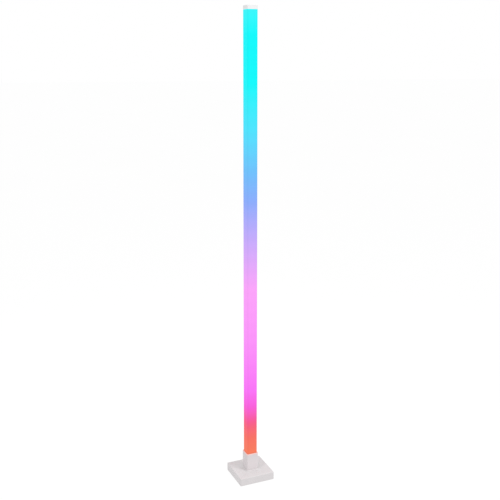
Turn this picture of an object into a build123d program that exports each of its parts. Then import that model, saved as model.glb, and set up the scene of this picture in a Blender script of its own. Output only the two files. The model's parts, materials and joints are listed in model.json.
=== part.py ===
from build123d import *
import os

# Square LED column floor lamp.
# Millimetres. Origin on the floor under the middle of the base, +Z up,
# front towards -Y, the inlet and the two buttons in the rear (+Y) side.

os.makedirs("parts", exist_ok=True)

# ------------------------------------------------------------- driving sizes
lamp_height = 1420.0

# base shell
base_side = 112.0
base_top = 25.0
skirt_bottom = 0.6
base_corner_r = 2.0
base_edge_r = 1.4
shell_wall = 2.5
cavity_corner_r = 1.0
collar_side = 37.4
collar_top = 80.6
collar_corner_r = 2.8
collar_well_side = 31.8
collar_well_r = 2.3
collar_root_r = 2.4
collar_rim_r = 0.5

# light tube and end cap
tube_side = 31.4
tube_wall = 2.0
tube_corner_r = 2.2
tube_inner_r = 0.6
tube_bottom = 31.0
tube_top = 1409.0
cap_side = 31.8
cap_corner_r = 2.4
cap_edge_r = 0.7
cap_roof = 2.5
cap_plug_side = 27.2
cap_plug_r = 0.8
cap_plug_wall = 1.8
cap_plug_bottom = 1395.0

# spine, strips and light packages
spine_side = 12.0
spine_wall = 1.2
spine_corner_r = 0.8
spine_bottom = 37.0
spine_top = 1410.5
socket_play = 0.075
strip_width = 8.0
strip_thick = 0.3
strip_top = 1392.0
led_side = 5.0
led_thick = 1.6
led_first_z = 86.0
led_pitch = 100.0 / 3.0
led_rows = 40
spacer_thick = 5.0
spacer_side = 27.0
spacer_rows = (8, 19, 30)
link_board_side = 26.2
link_board_thick = 1.6

# column foot
foot_plug_side = 27.0
foot_plug_r = 0.5
foot_top = 70.0
foot_core_bottom = 43.0
column_screw_x = 9.0
insert_r = 2.8
insert_bottom = 25.5
insert_top = 36.0

# underside
cover_bottom = 1.6
cover_top = 3.6
cover_play = 0.2
foot_pad_r = 7.5
foot_pad_pitch = 88.0
foot_pad_top = 2.5
boss_r = 3.5
boss_x = 48.5
boss_y = 22.0
cover_screw_r = 1.5
cover_screw_head_r = 2.8
cover_screw_end = 12.0

# counterweight
weight_side = 105.0
weight_bottom = 6.0
weight_corner = 4.0
bay_left = -32.5
bay_right = 33.5
bay_front = 5.5
column_screw_r = 2.0
column_screw_hole_r = 2.25
column_screw_head_r = 3.5
column_screw_seat = 10.5
column_screw_head = 3.4
column_screw_end = 38.0

# control board
board_left = -13.5
board_right = 30.0
board_front = 24.0
board_rear = 47.5
board_bottom = 7.1
board_thick = 1.6
board_screw_points = ((-10.7, 26.8), (-10.7, 44.7), (27.2, 26.8), (27.2, 44.7))

# rear controls
control_z = 12.5
recess_length = 58.0
recess_height = 12.0
recess_depth = 2.0
recess_mouth_r = 0.4
pad_half = 31.0
pad_inner = 51.5
power_button_x = 6.0
mode_button_x = 20.0
button_r = 3.4
button_hole_r = 3.5
button_flange_r = 4.6
button_face = 55.2
plunger_r = 1.2
plunger_hole_r = 1.3
plunger_tip = 49.0

# low-voltage inlet (for a 5.5 x 2.1 plug)
inlet_x = -20.0
inlet_flange_r = 5.2
inlet_flange = 1.4
inlet_barrel_r = 4.0
inlet_hole_r = 4.1
inlet_back = 43.0
inlet_bore_r = 2.85
inlet_floor = 45.9
inlet_pin_r = 1.0
inlet_pin_tip = 54.2

# cables held inside the lamp
cable_r = 1.6
cable_y = 9.4
cable_z = 11.8
cable_bend = 8.0
wire_r = 0.7
wire_bend = 2.5

# ------------------------------------------------------------- derived sizes
base_half = base_side / 2
cavity_side = base_side - 2 * shell_wall
cavity_top = base_top - shell_wall
board_top = board_bottom + board_thick
recess_floor = base_half - recess_depth
link_bottom = foot_top
link_top = foot_top + link_board_thick
strip_offset = spine_side / 2 + strip_thick / 2
led_offset = spine_side / 2 + strip_thick + led_thick / 2
boss_points = [(sx * boss_x, sy * boss_y) for sx in (-1, 1) for sy in (-1, 1)]
column_screw_points = [(-column_screw_x, 0), (column_screw_x, 0)]
rear_face = Plane(origin=(0, base_half, control_z), x_dir=(1, 0, 0), z_dir=(0, -1, 0))


def rear_plane(y):
    """Plane across the controls' axes at depth y, looking inward, local x = X, local y = Z."""
    return Plane(origin=(0, y, control_z), x_dir=(1, 0, 0), z_dir=(0, -1, 0))


# ---------------------------------------------------------------- base_cover
with BuildPart() as base_cover:
    # plate with softened edges
    with BuildSketch(Plane.XY.offset(skirt_bottom)):
        RectangleRounded(base_side, base_side, base_corner_r)
    extrude(amount=base_top - skirt_bottom)
    fillet(base_cover.faces().sort_by(Axis.Z)[-1].edges(), base_edge_r)
    chamfer(base_cover.faces().sort_by(Axis.Z)[0].edges(), 0.3)
    # square collar that rises from the plate
    with BuildSketch(Plane.XY.offset(base_top - 1)):
        RectangleRounded(collar_side, collar_side, collar_corner_r)
    extrude(amount=collar_top - base_top + 1)
    fillet(base_cover.faces().sort_by(Axis.Z)[-1].edges(), collar_rim_r)
    collar_root = base_cover.edges().filter_by_position(
        Axis.Z, base_top - 0.01, base_top + 0.01
    )
    collar_root = collar_root.filter_by(
        lambda e: max(abs(e.center().X), abs(e.center().Y)) < collar_side / 2 + 0.5
    )
    fillet(collar_root, collar_root_r)
    # hollow under the plate
    with BuildSketch(Plane.XY.offset(skirt_bottom)):
        RectangleRounded(cavity_side, cavity_side, cavity_corner_r)
    extrude(amount=cavity_top - skirt_bottom, mode=Mode.SUBTRACT)
    # square well for the column, with a small lead-in at its mouth
    with BuildSketch(Plane.XY.offset(base_top)):
        RectangleRounded(collar_well_side, collar_well_side, collar_well_r)
    extrude(amount=collar_top - base_top, mode=Mode.SUBTRACT)
    well_mouth = base_cover.edges().filter_by_position(
        Axis.Z, collar_top - 0.01, collar_top + 0.01
    )
    well_mouth = well_mouth.filter_by(
        lambda e: max(abs(e.center().X), abs(e.center().Y)) < collar_well_side / 2 + 0.1
    )
    chamfer(well_mouth, 0.5)
    # four screw bosses, each tied to the side wall by a rib
    with BuildSketch(Plane.XY.offset(cover_top)):
        with Locations(*boss_points):
            Circle(boss_r)
    extrude(amount=cavity_top - cover_top + 0.5)
    with BuildSketch(Plane.XY.offset(cover_top + 1.0)):
        with Locations(*[(sx * (boss_x + 3.2), y) for sx in (-1, 1) for y in (-boss_y, boss_y)]):
            Rectangle(5.0, 2.0)
    extrude(amount=cavity_top - cover_top - 0.5)
    with BuildSketch(Plane.XY.offset(cover_top)):
        with Locations(*boss_points):
            Circle(cover_screw_r + 0.05)
    extrude(amount=cover_screw_end - cover_top + 1.0, mode=Mode.SUBTRACT)
    # thicker wall behind the rear controls
    with BuildSketch(Plane(origin=(0, pad_inner, 0), x_dir=(1, 0, 0), z_dir=(0, 1, 0))):
        with Locations((0, -(4.6 + cavity_top + 0.5) / 2)):
            Rectangle(2 * pad_half, cavity_top + 0.5 - 4.6)
    extrude(amount=recess_floor - pad_inner)
    # shallow rear recess, and the holes for the inlet and the two buttons
    with BuildSketch(rear_face):
        SlotOverall(recess_length, recess_height)
    extrude(amount=recess_depth, mode=Mode.SUBTRACT)
    recess_mouth = base_cover.edges().filter_by_position(
        Axis.Y, base_half - 0.01, base_half + 0.01
    )
    recess_mouth = recess_mouth.filter_by(
        lambda e: abs(e.center().Z - control_z) < recess_height / 2 + 0.1
        and abs(e.center().X) < recess_length / 2 + 0.1
    )
    fillet(recess_mouth, recess_mouth_r)
    with BuildSketch(rear_plane(recess_floor)):
        with Locations((inlet_x, 0)):
            Circle(inlet_hole_r)
        with Locations((power_button_x, 0), (mode_button_x, 0)):
            Circle(button_hole_r)
    extrude(amount=recess_floor - pad_inner, mode=Mode.SUBTRACT)
    # holes in the well's floor: two column screws and the cable
    with BuildSketch(Plane.XY.offset(cavity_top)):
        with Locations(*column_screw_points):
            Circle(column_screw_hole_r)
        with Locations((0, cable_y)):
            Circle(cable_r + 0.9)
    extrude(amount=shell_wall, mode=Mode.SUBTRACT)
base_cover.part.label = "base_cover"
export_step(base_cover.part, "parts/base_cover.step")

# ------------------------------------------------------------- counterweight
with BuildPart() as counterweight:
    with BuildSketch(Plane.XY.offset(weight_bottom)) as weight_outline:
        Rectangle(weight_side, weight_side)
        chamfer(weight_outline.vertices(), weight_corner)
        # notches around the shell's bosses
        with Locations(*[(sx * (boss_x + 0.5), sy * boss_y) for sx in (-1, 1) for sy in (-1, 1)]):
            Rectangle(10.0, 9.0, mode=Mode.SUBTRACT)
        # bay for the board and the inlet, open to the rear
        with Locations(((bay_left + bay_right) / 2, (bay_front + weight_side / 2 + 2) / 2)):
            Rectangle(bay_right - bay_left, weight_side / 2 + 2 - bay_front, mode=Mode.SUBTRACT)
    extrude(amount=cavity_top - weight_bottom)
    # screw holes, counterbored from below
    with BuildSketch(Plane.XY.offset(weight_bottom)):
        with Locations(*column_screw_points):
            Circle(column_screw_hole_r)
    extrude(amount=cavity_top - weight_bottom, mode=Mode.SUBTRACT)
    with BuildSketch(Plane.XY.offset(weight_bottom)):
        with Locations(*column_screw_points):
            Circle(column_screw_head_r + 0.7)
    extrude(amount=column_screw_seat - weight_bottom, mode=Mode.SUBTRACT)
counterweight.part.label = "counterweight"
export_step(counterweight.part, "parts/counterweight.step")

# -------------------------------------------------------------- bottom_cover
with BuildPart() as bottom_cover:
    with BuildSketch(Plane.XY.offset(cover_bottom)):
        RectangleRounded(cavity_side - 2 * cover_play, cavity_side - 2 * cover_play, 1.2)
    extrude(amount=cover_top - cover_bottom)
    # posts for the control board
    with BuildSketch(Plane.XY.offset(cover_top - 0.5)):
        with Locations(*board_screw_points):
            Circle(2.8)
    extrude(amount=board_bottom - cover_top + 0.5)
    with BuildSketch(Plane.XY.offset(board_bottom)):
        with Locations(*board_screw_points):
            Circle(1.3)
    extrude(amount=-3.2, mode=Mode.SUBTRACT)
    # countersunk cover screws
    with BuildSketch(Plane.XY.offset(cover_bottom)):
        with Locations(*boss_points):
            Circle(cover_screw_r + 0.1)
    extrude(amount=cover_top - cover_bottom, mode=Mode.SUBTRACT)
    with BuildSketch(Plane.XY.offset(cover_bottom)):
        with Locations(*boss_points):
            Circle(cover_screw_head_r + 0.1)
    extrude(amount=cover_screw_head_r - cover_screw_r, taper=45, mode=Mode.SUBTRACT)
    # openings under the two column screws, and shallow seats for the pads
    with BuildSketch(Plane.XY.offset(cover_bottom)):
        with Locations(*column_screw_points):
            Circle(4.6)
    extrude(amount=cover_top - cover_bottom, mode=Mode.SUBTRACT)
    with BuildSketch(Plane.XY.offset(cover_bottom)):
        with GridLocations(foot_pad_pitch, foot_pad_pitch, 2, 2):
            Circle(foot_pad_r + 0.15)
    extrude(amount=foot_pad_top - cover_bottom, mode=Mode.SUBTRACT)
bottom_cover.part.label = "bottom_cover"
export_step(bottom_cover.part, "parts/bottom_cover.step")

# --------------------------------------------------------------- rubber_feet
with BuildPart() as rubber_feet:
    with BuildSketch():
        with GridLocations(foot_pad_pitch, foot_pad_pitch, 2, 2):
            Circle(foot_pad_r)
    extrude(amount=foot_pad_top)
    fillet(rubber_feet.edges().filter_by_position(Axis.Z, -0.01, 0.01), 0.5)
rubber_feet.part.label = "rubber_feet"
export_step(rubber_feet.part, "parts/rubber_feet.step")

# ------------------------------------------------------- bottom_cover_screws
with BuildPart() as bottom_cover_screws:
    with BuildSketch(Plane.XY.offset(cover_bottom)):
        with Locations(*boss_points):
            Circle(cover_screw_r)
    extrude(amount=cover_screw_end - cover_bottom)
    with BuildSketch(Plane.XY.offset(cover_bottom)):
        with Locations(*boss_points):
            Circle(cover_screw_head_r)
    extrude(amount=cover_screw_head_r - cover_screw_r, taper=45)
    # cross recesses
    with BuildSketch(Plane.XY.offset(cover_bottom)):
        with Locations(*boss_points):
            Rectangle(2.6, 0.6)
            Rectangle(0.6, 2.6)
    extrude(amount=0.9, mode=Mode.SUBTRACT)
bottom_cover_screws.part.label = "bottom_cover_screws"
export_step(bottom_cover_screws.part, "parts/bottom_cover_screws.step")

# ------------------------------------------------------------- column_screws
with BuildPart() as column_screws:
    with BuildSketch(Plane.XY.offset(column_screw_seat - column_screw_head)):
        with Locations(*column_screw_points):
            Circle(column_screw_head_r)
    extrude(amount=column_screw_head)
    chamfer(
        column_screws.edges().filter_by_position(
            Axis.Z,
            column_screw_seat - column_screw_head - 0.01,
            column_screw_seat - column_screw_head + 0.01,
        ),
        0.4,
    )
    with BuildSketch(Plane.XY.offset(column_screw_seat)):
        with Locations(*column_screw_points):
            Circle(column_screw_r)
    extrude(amount=column_screw_end - column_screw_seat)
    with BuildSketch(Plane.XY.offset(column_screw_seat - column_screw_head)):
        with Locations(*column_screw_points):
            RegularPolygon(1.7, 6)
    extrude(amount=2.0, mode=Mode.SUBTRACT)
column_screws.part.label = "column_screws"
export_step(column_screws.part, "parts/column_screws.step")

# --------------------------------------------------------------- column_foot
with BuildPart() as column_foot:
    # flange that the tube stands on, and the plug inside the tube
    with BuildSketch(Plane.XY.offset(base_top)):
        RectangleRounded(tube_side, tube_side, tube_corner_r)
    extrude(amount=tube_bottom - base_top)
    with BuildSketch(Plane.XY.offset(tube_bottom - 1)):
        RectangleRounded(foot_plug_side, foot_plug_side, foot_plug_r)
    extrude(amount=foot_top - tube_bottom + 1)
    chamfer(column_foot.faces().sort_by(Axis.Z)[-1].edges(), 0.4)
    # square socket for the spine
    with BuildSketch(Plane.XY.offset(spine_bottom)):
        Rectangle(spine_side + 2 * socket_play, spine_side + 2 * socket_play)
    extrude(amount=foot_top - spine_bottom, mode=Mode.SUBTRACT)
    # cored sides, cable way at the rear
    with BuildSketch(Plane.XY.offset(foot_core_bottom)):
        with Locations((-9.6, 0), (9.6, 0)):
            Rectangle(3.4, 12.0)
        with Locations((0, -9.6)):
            Rectangle(12.0, 3.4)
    extrude(amount=foot_top - foot_core_bottom, mode=Mode.SUBTRACT)
    with BuildSketch(Plane.XY.offset(base_top)):
        with Locations((0, cable_y)):
            Circle(cable_r + 0.5)
    extrude(amount=foot_top - base_top, mode=Mode.SUBTRACT)
    # seats for the thread inserts, with room for the screws' ends
    with BuildSketch(Plane.XY.offset(base_top)):
        with Locations(*column_screw_points):
            Circle(insert_r + 0.02)
    extrude(amount=insert_top - base_top, mode=Mode.SUBTRACT)
    with BuildSketch(Plane.XY.offset(insert_top)):
        with Locations(*column_screw_points):
            Circle(column_screw_r + 0.2)
    extrude(amount=column_screw_end + 1.0 - insert_top, mode=Mode.SUBTRACT)
column_foot.part.label = "column_foot"
export_step(column_foot.part, "parts/column_foot.step")

# -------------------------------------------------------------- foot_inserts
with BuildPart() as foot_inserts:
    with BuildSketch(Plane.XY.offset(insert_bottom)):
        with Locations(*column_screw_points):
            Circle(insert_r)
            Circle(column_screw_r + 0.05, mode=Mode.SUBTRACT)
    extrude(amount=insert_top - insert_bottom)
foot_inserts.part.label = "foot_inserts"
export_step(foot_inserts.part, "parts/foot_inserts.step")

# --------------------------------------------------------------------- spine
with BuildPart() as spine:
    with BuildSketch(Plane.XY.offset(spine_bottom)):
        RectangleRounded(spine_side, spine_side, spine_corner_r)
        Rectangle(spine_side - 2 * spine_wall, spine_side - 2 * spine_wall, mode=Mode.SUBTRACT)
    extrude(amount=spine_top - spine_bottom)
spine.part.label = "spine"
export_step(spine.part, "parts/spine.step")

# ---------------------------------------------------------------- led_strips
with BuildPart() as led_strips:
    with BuildSketch(Plane.XY.offset(link_top)):
        with Locations((0, -strip_offset), (0, strip_offset)):
            Rectangle(strip_width, strip_thick)
        with Locations((-strip_offset, 0), (strip_offset, 0)):
            Rectangle(strip_thick, strip_width)
    extrude(amount=strip_top - link_top)
led_strips.part.label = "led_strips"
export_step(led_strips.part, "parts/led_strips.step")

# -------------------------------------------------------------- led_packages
led_heights = [led_first_z + k * led_pitch for k in range(led_rows)]
with BuildPart() as led_packages:
    with Locations(*[(0, s * led_offset, z) for s in (-1, 1) for z in led_heights]):
        Box(led_side, led_thick, led_side)
    with Locations(*[(s * led_offset, 0, z) for s in (-1, 1) for z in led_heights]):
        Box(led_thick, led_side, led_side)
led_packages.part.label = "led_packages"
export_step(led_packages.part, "parts/led_packages.step")

# ------------------------------------------------------------- spine_spacers
spacer_heights = [
    led_first_z + (k + 0.5) * led_pitch - spacer_thick / 2 for k in spacer_rows
]
with BuildPart() as spine_spacers:
    for z in spacer_heights:
        with BuildSketch(Plane.XY.offset(z)):
            Rectangle(36.0, 2.4, rotation=45)
            Rectangle(36.0, 2.4, rotation=-45)
            Rectangle(spine_side + 5.0, spine_side + 5.0)
            RectangleRounded(spacer_side, spacer_side, 0.8, mode=Mode.INTERSECT)
            Rectangle(spine_side, spine_side, mode=Mode.SUBTRACT)
            # passages over the strips
            Rectangle(spine_side + 1.0, strip_width + 0.6, mode=Mode.SUBTRACT)
            Rectangle(strip_width + 0.6, spine_side + 1.0, mode=Mode.SUBTRACT)
        extrude(amount=spacer_thick)
spine_spacers.part.label = "spine_spacers"
export_step(spine_spacers.part, "parts/spine_spacers.step")

# ---------------------------------------------------------------- link_board
with BuildPart() as link_board:
    with BuildSketch(Plane.XY.offset(link_bottom)):
        RectangleRounded(link_board_side, link_board_side, 0.8)
        Rectangle(spine_side + 0.4, spine_side + 0.4, mode=Mode.SUBTRACT)
    extrude(amount=link_board_thick)
link_board.part.label = "link_board"
export_step(link_board.part, "parts/link_board.step")

# ------------------------------------------------------------- diffuser_tube
with BuildPart() as diffuser_tube:
    with BuildSketch(Plane.XY.offset(tube_bottom)):
        RectangleRounded(tube_side, tube_side, tube_corner_r)
        RectangleRounded(
            tube_side - 2 * tube_wall,
            tube_side - 2 * tube_wall,
            tube_inner_r,
            mode=Mode.SUBTRACT,
        )
    extrude(amount=tube_top - tube_bottom)
diffuser_tube.part.label = "diffuser_tube"
export_step(diffuser_tube.part, "parts/diffuser_tube.step")

# ------------------------------------------------------------------- top_cap
with BuildPart() as top_cap:
    with BuildSketch(Plane.XY.offset(tube_top)):
        RectangleRounded(cap_side, cap_side, cap_corner_r)
    extrude(amount=lamp_height - tube_top)
    fillet(top_cap.faces().sort_by(Axis.Z)[-1].edges(), cap_edge_r)
    fillet(top_cap.faces().sort_by(Axis.Z)[0].edges(), 0.25)
    # plug inside the tube, hollow like the cap
    with BuildSketch(Plane.XY.offset(cap_plug_bottom)):
        RectangleRounded(cap_plug_side, cap_plug_side, cap_plug_r)
    extrude(amount=tube_top - cap_plug_bottom + 1)
    chamfer(top_cap.faces().sort_by(Axis.Z)[0].edges(), 0.5)
    with BuildSketch(Plane.XY.offset(cap_plug_bottom)):
        Rectangle(cap_plug_side - 2 * cap_plug_wall, cap_plug_side - 2 * cap_plug_wall)
    extrude(amount=lamp_height - cap_roof - cap_plug_bottom, mode=Mode.SUBTRACT)
    # socket that holds the spine's end, tied to the plug by four ribs
    with BuildSketch(Plane.XY.offset(cap_plug_bottom)):
        Rectangle(spine_side + 2 * socket_play + 3.0, spine_side + 2 * socket_play + 3.0)
        Rectangle(cap_plug_side - 2 * cap_plug_wall + 1.0, 1.6)
        Rectangle(1.6, cap_plug_side - 2 * cap_plug_wall + 1.0)
    extrude(amount=lamp_height - cap_roof - cap_plug_bottom + 0.5)
    with BuildSketch(Plane.XY.offset(cap_plug_bottom)):
        Rectangle(spine_side + 2 * socket_play, spine_side + 2 * socket_play)
    extrude(amount=spine_top + 0.5 - cap_plug_bottom, mode=Mode.SUBTRACT)
top_cap.part.label = "top_cap"
export_step(top_cap.part, "parts/top_cap.step")

# ------------------------------------------------------------- control_board
with BuildPart() as control_board:
    with BuildSketch(Plane.XY.offset(board_bottom)):
        with Locations(((board_left + board_right) / 2, (board_front + board_rear) / 2)):
            RectangleRounded(board_right - board_left, board_rear - board_front, 1.0)
        with Locations(*board_screw_points):
            Circle(1.4, mode=Mode.SUBTRACT)
    extrude(amount=board_thick)
control_board.part.label = "control_board"
export_step(control_board.part, "parts/control_board.step")

# -------------------------------------------------------------- board_screws
with BuildPart() as board_screws:
    with BuildSketch(Plane.XY.offset(board_bottom - 2.8)):
        with Locations(*board_screw_points):
            Circle(1.2)
    extrude(amount=2.8 + board_thick)
    with BuildSketch(Plane.XY.offset(board_top)):
        with Locations(*board_screw_points):
            Circle(2.1)
    extrude(amount=1.5)
    fillet(
        board_screws.edges().filter_by_position(Axis.Z, board_top + 1.49, board_top + 1.51),
        0.5,
    )
    with BuildSketch(Plane.XY.offset(board_top + 1.5)):
        with Locations(*board_screw_points):
            Rectangle(2.0, 0.5)
            Rectangle(0.5, 2.0)
    extrude(amount=-0.8, mode=Mode.SUBTRACT)
board_screws.part.label = "board_screws"
export_step(board_screws.part, "parts/board_screws.step")

# --------------------------------------------- controller_module, shield_can
with BuildPart() as controller_module:
    with BuildSketch(Plane.XY.offset(board_top)):
        with Locations((17.0, 33.6)):
            Rectangle(15.0, 14.8)
    extrude(amount=0.8)
controller_module.part.label = "controller_module"
export_step(controller_module.part, "parts/controller_module.step")

with BuildPart() as shield_can:
    with BuildSketch(Plane.XY.offset(board_top + 0.8)):
        with Locations((17.0, 32.2)):
            RectangleRounded(13.0, 10.4, 0.8)
    extrude(amount=2.4)
    fillet(shield_can.faces().sort_by(Axis.Z)[-1].edges(), 0.4)
    with BuildSketch(Plane.XY.offset(board_top + 0.8)):
        with Locations((17.0, 32.2)):
            Rectangle(12.2, 9.6)
    extrude(amount=2.0, mode=Mode.SUBTRACT)
shield_can.part.label = "shield_can"
export_step(shield_can.part, "parts/shield_can.step")

# ------------------------------------------------------- capacitor, inductor
with BuildPart() as capacitor:
    with BuildSketch(Plane.XY.offset(board_top)):
        with Locations((-7.5, 39.3)):
            Circle(3.15)
    extrude(amount=7.7)
    fillet(capacitor.faces().sort_by(Axis.Z)[-1].edges(), 0.5)
capacitor.part.label = "capacitor"
export_step(capacitor.part, "parts/capacitor.step")

with BuildPart() as inductor:
    with BuildSketch(Plane.XY.offset(board_top)):
        with Locations((1.5, 39.7)):
            RectangleRounded(6.8, 6.8, 1.4)
    extrude(amount=4.0)
    chamfer(inductor.faces().sort_by(Axis.Z)[-1].edges(), 0.4)
inductor.part.label = "inductor"
export_step(inductor.part, "parts/inductor.step")

# ---------------------------------------------- switches, plungers, buttons
with BuildPart() as power_switch_body:
    with BuildSketch(Plane.XY.offset(board_top)):
        with Locations((power_button_x, board_rear - 2.0)):
            Rectangle(6.4, 4.0)
    extrude(amount=2 * (control_z - board_top))
    with BuildSketch(rear_plane(board_rear)):
        with Locations((power_button_x, 0)):
            Circle(plunger_hole_r)
    extrude(amount=2.6, mode=Mode.SUBTRACT)
power_switch_body.part.label = "power_switch_body"
export_step(power_switch_body.part, "parts/power_switch_body.step")

with BuildPart() as mode_switch_body:
    with BuildSketch(Plane.XY.offset(board_top)):
        with Locations((mode_button_x, board_rear - 2.0)):
            Rectangle(6.4, 4.0)
    extrude(amount=2 * (control_z - board_top))
    with BuildSketch(rear_plane(board_rear)):
        with Locations((mode_button_x, 0)):
            Circle(plunger_hole_r)
    extrude(amount=2.6, mode=Mode.SUBTRACT)
mode_switch_body.part.label = "mode_switch_body"
export_step(mode_switch_body.part, "parts/mode_switch_body.step")

with BuildPart() as power_switch_plunger:
    with BuildSketch(rear_plane(plunger_tip)):
        with Locations((power_button_x, 0)):
            Circle(plunger_r)
    extrude(amount=3.2)
power_switch_plunger.part.label = "power_switch_plunger"
export_step(power_switch_plunger.part, "parts/power_switch_plunger.step")

with BuildPart() as mode_switch_plunger:
    with BuildSketch(rear_plane(plunger_tip)):
        with Locations((mode_button_x, 0)):
            Circle(plunger_r)
    extrude(amount=3.2)
mode_switch_plunger.part.label = "mode_switch_plunger"
export_step(mode_switch_plunger.part, "parts/mode_switch_plunger.step")

# button: cap through the wall, flange behind it, stem against the plunger
with BuildPart() as power_button:
    with BuildSketch(rear_plane(button_face)):
        with Locations((power_button_x, 0)):
            Circle(button_r)
    extrude(amount=button_face - (pad_inner - 1.3))
    fillet(power_button.faces().sort_by(Axis.Y)[-1].edges(), 0.5)
    with BuildSketch(rear_plane(pad_inner - 0.1)):
        with Locations((power_button_x, 0)):
            Circle(button_flange_r)
    extrude(amount=1.2)
    with BuildSketch(rear_plane(pad_inner - 1.3)):
        with Locations((power_button_x, 0)):
            Circle(1.8)
    extrude(amount=pad_inner - 1.3 - plunger_tip)
    # raised ring on the face, so that a finger tells it from the other button
    with BuildSketch(rear_plane(button_face)):
        with Locations((power_button_x, 0)):
            Circle(1.7)
            Circle(1.2, mode=Mode.SUBTRACT)
    extrude(amount=-0.2)
power_button.part.label = "power_button"
export_step(power_button.part, "parts/power_button.step")

with BuildPart() as mode_button:
    with BuildSketch(rear_plane(button_face)):
        with Locations((mode_button_x, 0)):
            Circle(button_r)
    extrude(amount=button_face - (pad_inner - 1.3))
    fillet(mode_button.faces().sort_by(Axis.Y)[-1].edges(), 0.5)
    with BuildSketch(rear_plane(pad_inner - 0.1)):
        with Locations((mode_button_x, 0)):
            Circle(button_flange_r)
    extrude(amount=1.2)
    with BuildSketch(rear_plane(pad_inner - 1.3)):
        with Locations((mode_button_x, 0)):
            Circle(1.8)
    extrude(amount=pad_inner - 1.3 - plunger_tip)
mode_button.part.label = "mode_button"
export_step(mode_button.part, "parts/mode_button.step")

# -------------------------------------------------- inlet, nut and contacts
with BuildPart() as power_socket:
    with BuildSketch(rear_plane(recess_floor + inlet_flange)):
        with Locations((inlet_x, 0)):
            Circle(inlet_flange_r)
    extrude(amount=inlet_flange)
    fillet(power_socket.faces().sort_by(Axis.Y)[-1].edges(), 0.4)
    with BuildSketch(rear_plane(recess_floor)):
        with Locations((inlet_x, 0)):
            Circle(inlet_barrel_r)
    extrude(amount=recess_floor - inlet_back)
    with BuildSketch(rear_plane(recess_floor + inlet_flange)):
        with Locations((inlet_x, 0)):
            Circle(inlet_bore_r)
    extrude(amount=recess_floor + inlet_flange - inlet_floor, mode=Mode.SUBTRACT)
    # holes for the pin's root and the lug
    with BuildSketch(rear_plane(inlet_floor)):
        with Locations((inlet_x, 0)):
            Circle(0.75)
        with Locations((inlet_x, 3.0)):
            Rectangle(2.4, 0.6)
    extrude(amount=inlet_floor - inlet_back, mode=Mode.SUBTRACT)
power_socket.part.label = "power_socket"
export_step(power_socket.part, "parts/power_socket.step")

with BuildPart() as power_socket_nut:
    with BuildSketch(rear_plane(pad_inner)):
        with Locations((inlet_x, 0)):
            RegularPolygon(5.6, 6)
            Circle(inlet_barrel_r + 0.05, mode=Mode.SUBTRACT)
    extrude(amount=2.2)
power_socket_nut.part.label = "power_socket_nut"
export_step(power_socket_nut.part, "parts/power_socket_nut.step")

with BuildPart() as power_socket_contacts:
    # centre pin with a rounded tip
    with BuildSketch(rear_plane(inlet_pin_tip)):
        with Locations((inlet_x, 0)):
            Circle(inlet_pin_r)
    extrude(amount=inlet_pin_tip - inlet_floor)
    fillet(power_socket_contacts.faces().sort_by(Axis.Y)[-1].edges(), 0.5)
    with BuildSketch(rear_plane(inlet_floor)):
        with Locations((inlet_x, 0)):
            Circle(0.7)
    extrude(amount=inlet_floor - 41.0)
    # solder lug of the sleeve contact
    with BuildSketch(rear_plane(inlet_floor - 0.4)):
        with Locations((inlet_x, 3.0)):
            Rectangle(2.3, 0.5)
    extrude(amount=inlet_floor - 0.4 - 41.0)
power_socket_contacts.part.label = "power_socket_contacts"
export_step(power_socket_contacts.part, "parts/power_socket_contacts.step")

# ------------------------------------------------------ cables held inside
with BuildPart() as power_wires:
    with BuildLine() as pin_wire:
        FilletPolyline(
            (inlet_x, 41.0, control_z),
            (inlet_x, 35.0, control_z),
            (-11.5, 35.0, control_z + 2.0),
            (-11.5, 35.0, board_top),
            radius=wire_bend,
        )
    with BuildSketch(Plane(origin=pin_wire.line @ 0, z_dir=pin_wire.line % 0)):
        Circle(wire_r)
    sweep(path=pin_wire.line)
    with BuildLine() as lug_wire:
        FilletPolyline(
            (inlet_x, 41.0, control_z + 3.0),
            (inlet_x, 31.0, control_z + 3.0),
            (-11.5, 31.0, control_z + 3.0),
            (-11.5, 31.0, board_top),
            radius=wire_bend,
        )
    with BuildSketch(Plane(origin=lug_wire.line @ 0, z_dir=lug_wire.line % 0)):
        Circle(wire_r)
    sweep(path=lug_wire.line)
power_wires.part.label = "power_wires"
export_step(power_wires.part, "parts/power_wires.step")

with BuildPart() as board_header:
    with BuildSketch(Plane.XY.offset(board_top)):
        with Locations((0, 32.0)):
            Rectangle(12.0, 7.0)
    extrude(amount=6.0)
    with BuildSketch(Plane(origin=(0, 28.5, cable_z), x_dir=(1, 0, 0), z_dir=(0, 1, 0))):
        Rectangle(10.2, 4.4)
    extrude(amount=5.6, mode=Mode.SUBTRACT)
board_header.part.label = "board_header"
export_step(board_header.part, "parts/board_header.step")

with BuildPart() as harness_plug:
    with BuildSketch(Plane(origin=(0, 22.5, cable_z), x_dir=(1, 0, 0), z_dir=(0, 1, 0))):
        Rectangle(10.0, 4.2)
    extrude(amount=11.4)
    with BuildSketch(Plane.XY.offset(cable_z + 2.1)):
        with Locations((0, 25.0)):
            Rectangle(4.0, 4.0)
    extrude(amount=0.8)
harness_plug.part.label = "harness_plug"
export_step(harness_plug.part, "parts/harness_plug.step")

with BuildPart() as column_cable:
    with BuildLine() as cable_path:
        FilletPolyline(
            (0, 22.5, cable_z),
            (0, cable_y, cable_z),
            (0, cable_y, link_bottom),
            radius=cable_bend,
        )
    with BuildSketch(Plane(origin=cable_path.line @ 0, z_dir=cable_path.line % 0)):
        Circle(cable_r)
    sweep(path=cable_path.line)
column_cable.part.label = "column_cable"
export_step(column_cable.part, "parts/column_cable.step")
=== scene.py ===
"""Looks of the LED column floor lamp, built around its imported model.

Metres, +Z up, origin on the floor under the middle of the base, front towards -Y.
"""

import json
import math

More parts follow.
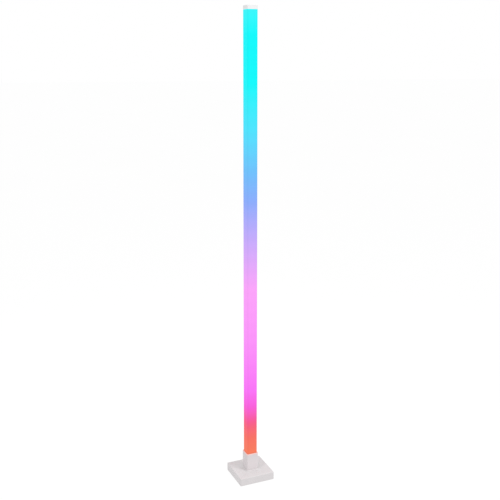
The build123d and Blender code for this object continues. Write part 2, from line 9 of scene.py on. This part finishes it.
import bpy
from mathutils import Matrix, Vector


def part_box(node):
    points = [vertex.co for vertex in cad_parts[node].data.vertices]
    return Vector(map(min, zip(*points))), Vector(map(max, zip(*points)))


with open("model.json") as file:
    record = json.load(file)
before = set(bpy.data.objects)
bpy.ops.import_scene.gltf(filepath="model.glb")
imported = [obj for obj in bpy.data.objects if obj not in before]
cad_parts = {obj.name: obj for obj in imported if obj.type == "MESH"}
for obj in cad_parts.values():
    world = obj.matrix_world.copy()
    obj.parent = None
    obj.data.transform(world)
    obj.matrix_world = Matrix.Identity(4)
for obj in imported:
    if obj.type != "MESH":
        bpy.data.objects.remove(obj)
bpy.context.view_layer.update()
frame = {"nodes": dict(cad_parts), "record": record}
nodes = frame["nodes"]
scene = bpy.context.scene

# ------------------------------------------------------------------- camera
# seen from the front, 24 degrees round to the left, from about chest height
CAM_AZIMUTH = math.radians(-23.55)
CAM_DISTANCE = 2.1846
CAM_HEIGHT = 1.2592
CAM_PITCH = math.radians(13.58)
CAM_FOCAL_PX = 762.92  # for a picture 500 pixels wide
CAM_TURN = math.radians(0.024)  # the lamp stands a hair right of the middle

camera_data = bpy.data.cameras.new("camera")
camera_data.sensor_width = 36.0
camera_data.lens = CAM_FOCAL_PX / 500.0 * 36.0
camera_data.clip_start = 0.05
camera_data.clip_end = 200.0
camera = bpy.data.objects.new("camera", camera_data)
scene.collection.objects.link(camera)
camera.location = (
    CAM_DISTANCE * math.sin(CAM_AZIMUTH),
    -CAM_DISTANCE * math.cos(CAM_AZIMUTH),
    CAM_HEIGHT,
)
heading = CAM_AZIMUTH + CAM_TURN
forward = Vector(
    (
        -math.sin(heading) * math.cos(CAM_PITCH),
        math.cos(heading) * math.cos(CAM_PITCH),
        -math.sin(CAM_PITCH),
    )
)
camera.rotation_mode = "QUATERNION"
camera.rotation_quaternion = forward.to_track_quat("-Z", "Y")
scene.camera = camera


# ------------------------------------------------------- material building
def linear(hex_colour):
    """#rrggbb as linear red, green, blue, alpha."""
    parts = [int(hex_colour[i : i + 2], 16) / 255.0 for i in (1, 3, 5)]
    return tuple(
        p / 12.92 if p <= 0.04045 else ((p + 0.055) / 1.055) ** 2.4 for p in parts
    ) + (1.0,)


class Finish:
    """One node-based material: a Principled shader and the textures that feed it."""

    def __init__(self, name, **sockets):
        self.material = bpy.data.materials.new(name)
        self.material.use_nodes = True
        self.tree = self.material.node_tree
        self.tree.nodes.clear()
        out = self.tree.nodes.new("ShaderNodeOutputMaterial")
        self.shader = self.tree.nodes.new("ShaderNodeBsdfPrincipled")
        self.link(self.shader.outputs["BSDF"], out.inputs["Surface"])
        self.place = self.tree.nodes.new("ShaderNodeTexCoord").outputs["Object"]
        for socket, value in sockets.items():
            self.shader.inputs[socket.replace("_", " ")].default_value = value

    def link(self, source, target):
        self.tree.links.new(source, target)

    def feed(self, source, socket):
        self.link(source, self.shader.inputs[socket])

    def stretched(self, scale):
        node = self.tree.nodes.new("ShaderNodeMapping")
        node.inputs["Scale"].default_value = scale
        self.link(self.place, node.inputs["Vector"])
        return node.outputs["Vector"]

    def noise(self, scale, detail=3.0, rough=0.55, stretch=None):
        node = self.tree.nodes.new("ShaderNodeTexNoise")
        node.inputs["Scale"].default_value = scale
        node.inputs["Detail"].default_value = detail
        node.inputs["Roughness"].default_value = rough
        self.link(self.stretched(stretch) if stretch else self.place, node.inputs["Vector"])
        return node.outputs["Fac"]

    def voronoi(self, scale, feature="F1", output="Distance"):
        node = self.tree.nodes.new("ShaderNodeTexVoronoi")
        node.feature = feature
        node.inputs["Scale"].default_value = scale
        self.link(self.place, node.inputs["Vector"])
        return node.outputs[output]

    def math(self, operation, a, b=None):
        node = self.tree.nodes.new("ShaderNodeMath")
        node.operation = operation
        for i, v in enumerate((a, b)):
            if v is None:
                continue
            if isinstance(v, (int, float)):
                node.inputs[i].default_value = v
            else:
                self.link(v, node.inputs[i])
        return node.outputs["Value"]

    def remap(self, value, low, high, to_low, to_high, smooth=False):
        node = self.tree.nodes.new("ShaderNodeMapRange")
        node.interpolation_type = "SMOOTHSTEP" if smooth else "LINEAR"
        for name, v in (
            ("From Min", low),
            ("From Max", high),
            ("To Min", to_low),
            ("To Max", to_high),
        ):
            node.inputs[name].default_value = v
        self.link(value, node.inputs["Value"])
        return node.outputs["Result"]

    def ramp(self, value, stops, interpolation="LINEAR"):
        node = self.tree.nodes.new("ShaderNodeValToRGB")
        node.color_ramp.interpolation = interpolation
        elements = node.color_ramp.elements
        while len(elements) > 1:
            elements.remove(elements[-1])
        elements[0].position, elements[0].color = stops[0][0], stops[0][1]
        for position, colour in stops[1:]:
            elements.new(position).color = colour
        self.link(value, node.inputs["Fac"])
        return node.outputs["Color"]

    def mix(self, factor, a, b, blend="MIX"):
        node = self.tree.nodes.new("ShaderNodeMix")
        node.data_type = "RGBA"
        node.blend_type = blend
        ins = {s.identifier: s for s in node.inputs}
        for key, v in (("Factor_Float", factor), ("A_Color", a), ("B_Color", b)):
            if isinstance(v, (int, float, tuple)):
                ins[key].default_value = v
            else:
                self.link(v, ins[key])
        return {s.identifier: s for s in node.outputs}["Result_Color"]

    def xyz(self):
        node = self.tree.nodes.new("ShaderNodeSeparateXYZ")
        self.link(self.place, node.inputs["Vector"])
        return node.outputs["X"], node.outputs["Y"], node.outputs["Z"]

    def bump(self, height, strength, distance, over=None):
        node = self.tree.nodes.new("ShaderNodeBump")
        node.inputs["Strength"].default_value = strength
        node.inputs["Distance"].default_value = distance
        self.link(height, node.inputs["Height"])
        if over is not None:
            self.link(over, node.inputs["Normal"])
        return node.outputs["Normal"]


def moulded(name, pale, deep, rough=(0.36, 0.5), grain=0.00008, **sockets):
    """Moulded plastic: faint flow tone, fine spark grain, slightly uneven sheen."""
    f = Finish(name, **sockets)
    tone = f.noise(16.0, 4.0, 0.6)
    f.feed(f.mix(f.remap(tone, 0.3, 0.7, 0.0, 1.0), pale, deep), "Base Color")
    f.feed(f.remap(f.noise(45.0, 3.0), 0.3, 0.7, *rough), "Roughness")
    fine = f.bump(f.noise(1500.0, 3.0, 0.6), 0.45, grain)
    f.feed(f.bump(f.noise(38.0, 2.0), 0.05, 0.0002, fine), "Normal")
    return f.material


def metal(name, pale, deep, rough, stretch, scale=900.0):
    """Drawn or turned metal: streaks along one direction."""
    f = Finish(name, Metallic=1.0)
    streak = f.noise(scale, 4.0, 0.65, stretch)
    f.feed(f.mix(f.remap(streak, 0.3, 0.7, 0.0, 1.0), pale, deep), "Base Color")
    f.feed(f.remap(streak, 0.3, 0.7, *rough), "Roughness")
    f.feed(f.bump(streak, 0.12, 0.00004), "Normal")
    return f.material


# ------------------------------------------------------------- lit opal tube
tube_low, tube_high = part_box("diffuser_tube")
shell_low, shell_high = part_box("base_cover")
TUBE_HALF = tube_high[0]
COLOUR_FOOT = shell_high[2]  # the tube comes out of the collar here
COLOUR_TOP = tube_high[2]
LED_PITCH = 0.1 / 3.0
LED_FIRST = 0.086

# the colour run up the column: share of the lit length, colour
COLOUR_RUN = [
    (0.00, linear("#fb8160")),
    (0.04, linear("#fb7567")),
    (0.065, linear("#fb697c")),
    (0.08, linear("#fb5e92")),
    (0.12, linear("#fc63e0")),
    (0.16, linear("#fd76fb")),
    (0.28, linear("#fd95fc")),
    (0.40, linear("#fda5fc")),
    (0.48, linear("#d8abfc")),
    (0.60, linear("#8cadfc")),
    (0.66, linear("#72bffc")),
    (0.76, linear("#4be3fc")),
    (0.85, linear("#12f6f9")),
    (0.95, linear("#10f6f9")),
    (1.00, linear("#38f5f9")),
]


def opal_lit():
    f = Finish("opal_lit", Emission_Strength=0.835, Specular_IOR_Level=0.02)
    x, y, z = f.xyz()
    run = f.ramp(f.remap(z, COLOUR_FOOT, COLOUR_TOP, 0.0, 1.0), COLOUR_RUN)
    # each strip faces the middle of its side, so the corners are a little dimmer,
    # and so is the wall below the first row of packages; that dimming at the collar's mouth is also painted shade
    side = f.math("MINIMUM", f.math("ABSOLUTE", x), f.math("ABSOLUTE", y))
    corner = f.remap(side, 0.55 * TUBE_HALF, 0.98 * TUBE_HALF, 1.0, 0.965, smooth=True)
    # painted shade: the emission darkens by 14 per cent where the tube enters the collar
    foot = f.remap(z, COLOUR_FOOT - 0.001, COLOUR_FOOT + 0.005, 0.86, 1.0, smooth=True)
    # a trace of the packages behind the wall, and of the extruded wall itself
    phase = f.math("MULTIPLY", f.math("SUBTRACT", z, LED_FIRST), 2.0 * math.pi / LED_PITCH)
    trace = f.math("ADD", 1.0, f.math("MULTIPLY", f.math("COSINE", phase), 0.006))
    cloud = f.remap(f.noise(9.0, 3.0, 0.5, (3.0, 3.0, 0.5)), 0.3, 0.7, 0.99, 1.01)
    level = f.math("MULTIPLY", f.math("MULTIPLY", corner, foot), f.math("MULTIPLY", trace, cloud))
    lit = f.mix(1.0, run, level, "MULTIPLY")
    f.feed(lit, "Emission Color")
    # painted light: the wall's base colour is its own coloured light at 12 per cent, not the white of the opal
    f.feed(f.mix(1.0, lit, (0.12, 0.12, 0.12, 1.0), "MULTIPLY"), "Base Color")
    drawn = f.noise(700.0, 3.0, 0.6, (1.0, 1.0, 0.01))
    f.feed(f.remap(drawn, 0.3, 0.7, 0.42, 0.52), "Roughness")
    f.feed(f.bump(drawn, 0.05, 0.00003), "Normal")
    return f.material


# ------------------------------------------------------------- white shells
def shell(name, pale, deep, **sockets):
    """Satin moulded shell: flow tone, spark grain, and a soft unevenness in its gloss."""
    f = Finish(name, Specular_IOR_Level=0.4, **sockets)
    tone = f.mix(f.remap(f.noise(14.0, 5.0, 0.6), 0.3, 0.7, 0.0, 1.0), pale, deep)
    f.feed(f.remap(f.noise(45.0, 3.0), 0.3, 0.7, 0.36, 0.5), "Roughness")
    fine = f.bump(f.noise(1100.0, 3.0, 0.6), 0.45, 0.00012)
    f.feed(f.bump(f.noise(150.0, 2.0), 0.12, 0.0004, fine), "Normal")
    return f, tone


def base_shell():
    """The base: painted shade makes its sides darker than its top, darkest near the floor, and darkens the crease at
    the collar's root;
    painted light lifts the collar low down, and the collar's top is painted pink and shines where the tube comes out
    of it."""
    # painted light: the warm pink of this white stands for the tube's red light on the base; the emission strength
    # drives the painted pink shine at the collar's top
    f, tone = shell("shell_white", linear("#d1cdce"), linear("#cdc9ca"), Emission_Strength=0.2)
    x, y, z = f.xyz()
    height = f.remap(z, 0.0, COLOUR_FOOT, 0.0, 1.0)
    # painted light and shade by height: the plate's sides darker than its top and darker still at the floor, a dark
    # crease at the collar's root, the collar lighter low down and darker near its top, and a pink rim lit by the tube
    painted_light_and_shade = f.ramp(
        height,
        [
            (0.0, (0.90, 0.90, 0.90, 1.0)),
            (0.05, (0.94, 0.94, 0.94, 1.0)),
            (0.27, (0.94, 0.94, 0.94, 1.0)),
            (0.311, (1.0, 1.0, 1.0, 1.0)),
            (0.32, (0.955, 0.945, 0.95, 1.0)),
            (0.34, (1.02, 0.995, 1.005, 1.0)),
            (0.40, (1.07, 1.04, 1.05, 1.0)),
            (0.60, (1.03, 1.0, 1.01, 1.0)),
            (0.94, (0.95, 0.92, 0.93, 1.0)),
            (1.0, (0.95, 0.79, 0.76, 1.0)),
        ],
    )
    f.feed(f.mix(1.0, tone, painted_light_and_shade, "MULTIPLY"), "Base Color")
    # painted light: the top 5 mm of the collar emit a pink light, as if the tube's red shone through the plastic
    painted_glow = f.remap(z, COLOUR_FOOT - 0.005, COLOUR_FOOT, 0.0, 1.0, smooth=True)
    f.feed(f.mix(painted_glow, (0.0, 0.0, 0.0, 1.0), linear("#ff8d80")), "Emission Color")
    return f.material


def cap_shell():
    """The cap: the same plastic, painted a shade darker than the base and without the base's painted warm tint,
    with painted cyan light from the tube emitted along its lower edge."""
    # painted shade: the same white plastic, set darker than the base
    f, tone = shell("cap_white", linear("#c4c4c5"), linear("#c0c0c1"), Emission_Strength=0.08)
    f.feed(tone, "Base Color")
    x, y, z = f.xyz()
    # painted light: the lowest 3 mm of the cap emit the tube's top colour
    painted_glow = f.remap(z, COLOUR_TOP, COLOUR_TOP + 0.003, 1.0, 0.0, smooth=True)
    f.feed(f.mix(painted_glow, (0.0, 0.0, 0.0, 1.0), COLOUR_RUN[-1][1]), "Emission Color")
    return f.material


# ------------------------------------------------------------ other finishes
def rubber():
    f = Finish("pad_rubber", Specular_IOR_Level=0.3)
    f.feed(
        f.mix(f.remap(f.noise(260.0, 4.0), 0.35, 0.7, 0.0, 1.0), linear("#1b1b1d"), linear("#2b2b2d")),
        "Base Color",
    )
    f.feed(f.remap(f.noise(120.0), 0.3, 0.7, 0.75, 0.92), "Roughness")
    f.feed(f.bump(f.voronoi(1500.0), 0.3, 0.00008), "Normal")
    return f.material


def cast_weight():
    f = Finish("weight_steel", Metallic=0.85)
    skin = f.noise(120.0, 6.0, 0.65)
    f.feed(f.ramp(skin, [(0.3, linear("#3b3c3e")), (0.6, linear("#55575a")), (0.75, linear("#6b5a4e"))]), "Base Color")
    f.feed(f.remap(skin, 0.3, 0.7, 0.5, 0.75), "Roughness")
    f.feed(f.bump(f.noise(700.0, 4.0), 0.35, 0.0002), "Normal")
    return f.material


def board(name, mask, track):
    """Circuit board: solder mask with tracks showing through it."""
    f = Finish(name, Specular_IOR_Level=0.5)
    cells = f.voronoi(420.0, "DISTANCE_TO_EDGE")
    lines = f.remap(cells, 0.03, 0.05, 1.0, 0.0)
    f.feed(f.mix(lines, mask, track), "Base Color")
    f.feed(f.remap(f.noise(300.0), 0.3, 0.7, 0.25, 0.4), "Roughness")
    f.feed(f.bump(lines, 0.3, 0.00003), "Normal")
    return f.material


def led_body():
    f = Finish("led_body", Emission_Strength=0.4)
    x, y, z = f.xyz()
    run = f.ramp(f.remap(z, COLOUR_FOOT, COLOUR_TOP, 0.0, 1.0), COLOUR_RUN)
    f.feed(run, "Emission Color")
    f.feed(f.mix(f.noise(800.0), linear("#fbf6d8"), linear("#f2efe6")), "Base Color")
    f.feed(f.remap(f.noise(900.0), 0.3, 0.7, 0.2, 0.35), "Roughness")
    return f.material


def clear_plastic():
    f = Finish("clear_plastic", Transmission_Weight=0.85, IOR=1.49)
    f.feed(f.mix(f.noise(60.0), linear("#eef3f4"), linear("#f8fbfb")), "Base Color")
    f.feed(f.remap(f.noise(200.0), 0.3, 0.7, 0.04, 0.12), "Roughness")
    return f.material


def wires():
    """One red and one black wire: the black one leaves the inlet above the red one and
    comes down to the board nearer the front."""
    f = Finish("wire_red", Specular_IOR_Level=0.4)
    x, y, z = f.xyz()
    above = f.math("MULTIPLY", f.math("GREATER_THAN", z, 0.0142), f.math("LESS_THAN", x, -0.0175))
    black = f.math("MAXIMUM", f.math("LESS_THAN", y, 0.033), above)
    f.feed(f.mix(black, linear("#a01812"), linear("#1c1c1e")), "Base Color")
    f.feed(f.remap(f.noise(500.0), 0.3, 0.7, 0.35, 0.5), "Roughness")
    return f.material


FINISHES = {
    "shell_white": base_shell(),
    "opal_lit": opal_lit(),
    "weight_steel": cast_weight(),
    "underside_plastic": moulded("underside_plastic", linear("#b9b7b8"), linear("#b2b0b1"), (0.5, 0.65), 0.00016),
    "pad_rubber": rubber(),
    "screw_steel": metal("screw_steel", linear("#b9babb"), linear("#98999b"), (0.25, 0.4), (1, 1, 6)),
    "inner_plastic": moulded("inner_plastic", linear("#dedbd2"), linear("#d5d2c9"), (0.4, 0.55)),
    "brass": metal("brass", linear("#d8b667"), linear("#b8954a"), (0.22, 0.36), (1, 6, 1)),
    "spine_aluminium": metal("spine_aluminium", linear("#d9dbdd"), linear("#c2c4c6"), (0.28, 0.42), (1, 1, 0.01)),
    "clear_plastic": clear_plastic(),
    "strip_film": moulded("strip_film", linear("#efeee9"), linear("#e7e5df"), (0.35, 0.5)),
    "led_body": led_body(),
    "circuit_board": board("circuit_board", linear("#0f5a3c"), linear("#1c7a52")),
    "module_board": board("module_board", linear("#12203a"), linear("#22355a")),
    "can_steel": metal("can_steel", linear("#cfd0d1"), linear("#b4b5b7"), (0.22, 0.36), (6, 1, 1)),
    "dark_plastic": moulded("dark_plastic", linear("#232325"), linear("#1c1c1e"), (0.35, 0.5)),
    "button_grey": moulded("button_grey", linear("#a9a7a8"), linear("#a19fa0"), (0.4, 0.52)),
    "wire_red": wires(),
    "cable_white": moulded("cable_white", linear("#dddcd9"), linear("#d3d2cf"), (0.45, 0.6)),
}
OWN_FINISH = {"top_cap": cap_shell()}
for part in frame["record"]["subparts"]:
    mesh = nodes[part["node"]].data
    mesh.materials.clear()
    mesh.materials.append(OWN_FINISH.get(part["node"], FINISHES[part["material_slot"]]))

# -------------------------------------------------------------------- stage
floor_mesh = bpy.data.meshes.new("floor")
F = 60.0
floor_mesh.from_pydata([(-F, -F, 0), (F, -F, 0), (F, F, 0), (-F, F, 0)], [], [(0, 1, 2, 3)])
floor = bpy.data.objects.new("floor", floor_mesh)
scene.collection.objects.link(floor)
paper = Finish(
    "floor_paper",
    Roughness=0.9,
    Specular_IOR_Level=0.0,
    Emission_Strength=0.885,
    Emission_Color=(1.0, 1.0, 1.0, 1.0),
)
paper.feed(
    paper.mix(paper.noise(0.8), (0.115, 0.115, 0.115, 1.0), (0.125, 0.125, 0.125, 1.0)),
    "Base Color",
)
floor_mesh.materials.append(paper.material)

# a light tent: white walls, a slightly darker ceiling
world = bpy.data.worlds.new("studio")
scene.world = world
world.use_nodes = True
tent = world.node_tree
sky = tent.nodes["Background"]
sky.inputs["Color"].default_value = (1.0, 1.0, 1.0, 1.0)
direction = tent.nodes.new("ShaderNodeTexCoord")
parts_of = tent.nodes.new("ShaderNodeSeparateXYZ")
ceiling = tent.nodes.new("ShaderNodeMapRange")
ceiling.interpolation_type = "SMOOTHSTEP"
for socket, value in (("From Min", 0.08), ("From Max", 0.4), ("To Min", 1.0), ("To Max", 0.88)):
    ceiling.inputs[socket].default_value = value
tent.links.new(direction.outputs["Generated"], parts_of.inputs["Vector"])
tent.links.new(parts_of.outputs["Z"], ceiling.inputs["Value"])
tent.links.new(ceiling.outputs["Result"], sky.inputs["Strength"])


def softbox(name, azimuth, distance, height, aim, size, watts):
    data = bpy.data.lights.new(name, "AREA")
    data.shape = "SQUARE"
    data.size = size
    data.energy = watts
    light = bpy.data.objects.new(name, data)
    scene.collection.objects.link(light)
    a = math.radians(azimuth)
    light.location = (distance * math.sin(a), -distance * math.cos(a), height)
    light.rotation_mode = "QUATERNION"
    light.rotation_quaternion = (Vector((0, 0, aim)) - light.location).to_track_quat("-Z", "Y")
    light.visible_camera = False
    return light


softbox("softbox_right", 40.0, 1.2, 1.9, 0.7, 0.4, 7.5)
softbox("softbox_left", -65.0, 1.2, 1.9, 0.7, 0.4, 7.6)
softbox("softbox_front", 35.0, 2.2, 1.1, 0.4, 1.0, 9.0)
softbox("softbox_above", 0.0, 0.6, 2.6, 0.7, 1.2, 3.0)

# the tent and all that glows are large and even, so light samples go to the softboxes
# alone, which keeps the white shells free of specks
for glowing in (
    FINISHES["opal_lit"],
    FINISHES["led_body"],
    FINISHES["shell_white"],
    OWN_FINISH["top_cap"],
    paper.material,
):
    glowing.cycles.emission_sampling = "NONE"
world.cycles.sampling_method = "NONE"

scene.view_settings.view_transform = "Standard"
scene.view_settings.look = "None"
scene.view_settings.exposure = 0.0
scene.view_settings.gamma = 1.0
